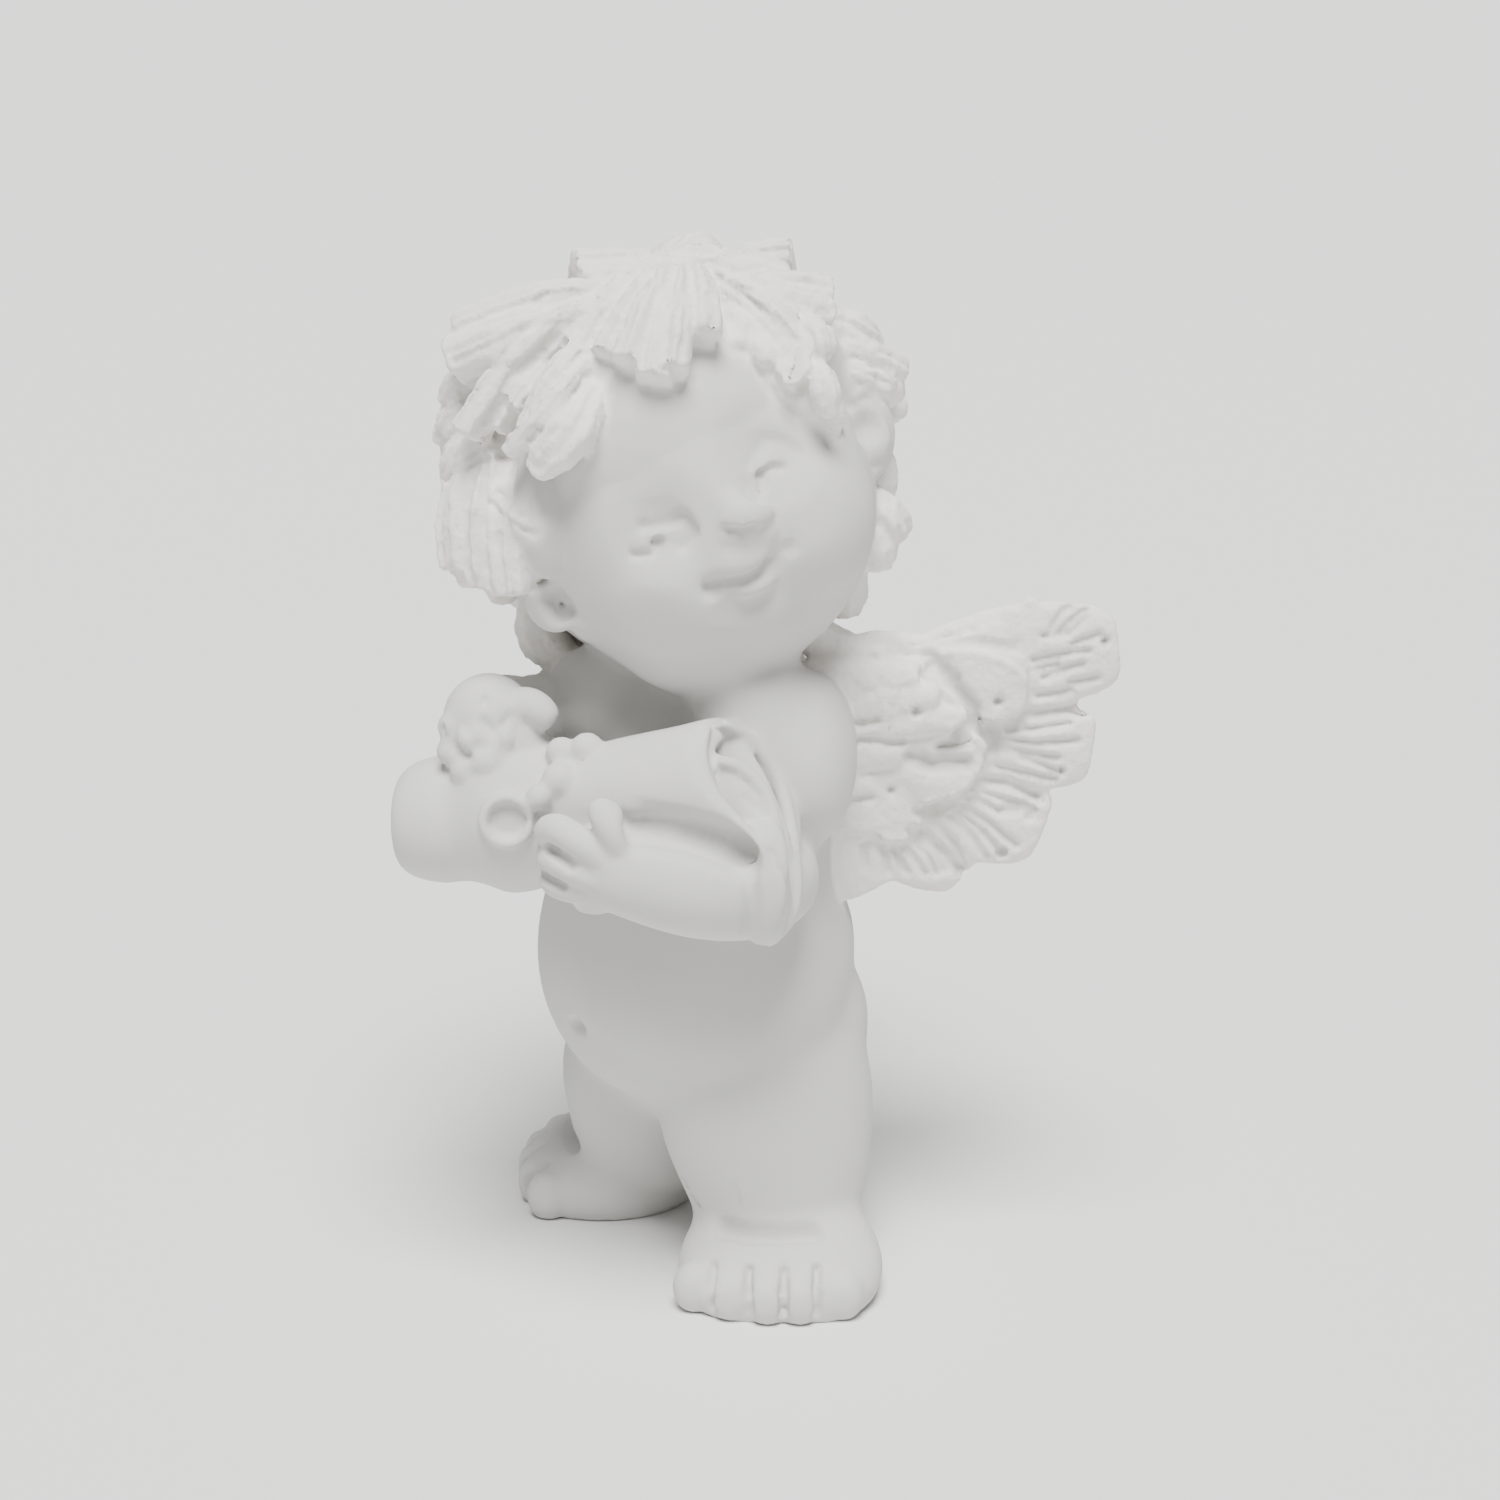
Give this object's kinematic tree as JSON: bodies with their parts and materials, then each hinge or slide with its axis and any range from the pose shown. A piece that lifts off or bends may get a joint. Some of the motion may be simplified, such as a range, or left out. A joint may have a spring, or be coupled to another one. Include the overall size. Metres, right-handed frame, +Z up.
{
  "type": "angel figurine",
  "caption": "Standing chubby cherub with short wings, tilted curly head and a rolled scroll held across its chest, cast in one piece of plaster on flat soles.",
  "frame": {"origin": "middle of the bounding box's underside, between the soles", "axes": "+Z up from the soles, -Y the way the body faces, +X the angel's left"},
  "size_m": [0.0542, 0.0597, 0.1],
  "materials": {
    "plaster": "matt unglazed cast plaster, off-white"
  },
  "bodies": {
    "root": {"angel_figurine": "plaster"}
  },
  "joints": []
}
